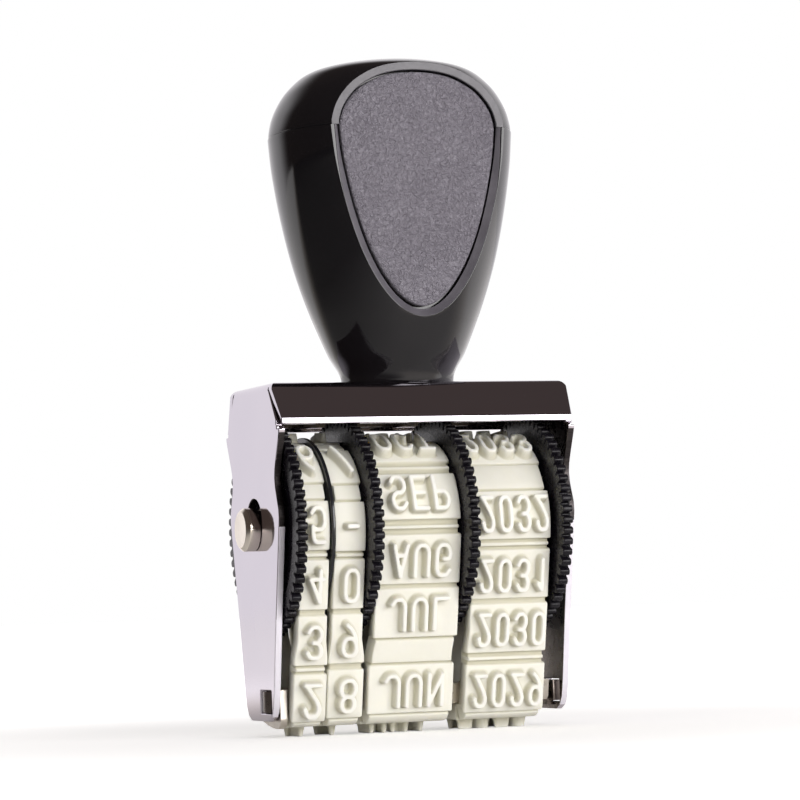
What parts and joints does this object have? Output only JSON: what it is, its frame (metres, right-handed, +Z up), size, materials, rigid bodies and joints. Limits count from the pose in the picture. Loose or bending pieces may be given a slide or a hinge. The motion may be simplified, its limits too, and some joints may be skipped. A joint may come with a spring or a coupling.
{
  "type": "rotary date stamp",
  "caption": "Hand-held band date stamp with a chromed metal frame, rubber date bands turned by toothed thumb wheels, and a pear-shaped two-part handle.",
  "frame": {"origin": "middle of the print face, on the plane of the printing characters, under the middle of the wheel axle", "axes": "+Z up through the handle, +X along the wheel axle towards the year wheel, -Y towards the side on which the bands are read"},
  "size_m": [0.039, 0.0248, 0.0768],
  "materials": {
    "chromed_sheet": "bright mirror chrome on pressed steel sheet",
    "nickel_steel": "nickel-plated turned steel",
    "zinc_steel": "zinc-plated steel",
    "brass": "turned brass",
    "wheel_plastic": "satin black moulded plastic",
    "disc_plastic": "glossy black plastic sheet",
    "band_rubber": "matte off-white rubber",
    "handle_gloss": "polished black moulded plastic",
    "panel_grain": "dark grey plastic with a fine leather grain"
  },
  "bodies": {
    "stamp": {"frame": "chromed_sheet", "saddle": "chromed_sheet", "axle": "nickel_steel", "axle_spacer": "wheel_plastic", "band_tens": "band_rubber", "band_units": "band_rubber", "band_month": "band_rubber", "band_year": "band_rubber", "handle_body": "handle_gloss", "handle_cap": "handle_gloss", "panel_front": "panel_grain", "panel_rear": "panel_grain", "thread_insert": "brass", "handle_screw": "zinc_steel", "screw_washer": "zinc_steel"},
    "tens_wheel": {"wheel_tens": "wheel_plastic"},
    "units_wheel": {"wheel_units": "wheel_plastic"},
    "month_wheel": {"wheel_month": "wheel_plastic"},
    "year_wheel": {"wheel_year": "wheel_plastic"},
    "separator": {"separator_disc": "disc_plastic"}
  },
  "joints": [
    {"name": "tens_wheel_turn", "type": "hinge", "parent": "stamp", "child": "tens_wheel", "pos_m": [-0.0145, 0, 0.02335], "axis": [1, 0, 0], "continuous": true},
    {"name": "units_wheel_turn", "type": "hinge", "parent": "stamp", "child": "units_wheel", "pos_m": [-0.0092, 0, 0.02335], "axis": [1, 0, 0], "continuous": true},
    {"name": "month_wheel_turn", "type": "hinge", "parent": "stamp", "child": "month_wheel", "pos_m": [-0.001, 0, 0.02335], "axis": [1, 0, 0], "continuous": true},
    {"name": "year_wheel_turn", "type": "hinge", "parent": "stamp", "child": "year_wheel", "pos_m": [0.0104, 0, 0.02335], "axis": [1, 0, 0], "continuous": true},
    {"name": "separator_turn", "type": "hinge", "parent": "stamp", "child": "separator", "pos_m": [-0.0119, 0, 0.02335], "axis": [1, 0, 0], "continuous": true}
  ]
}
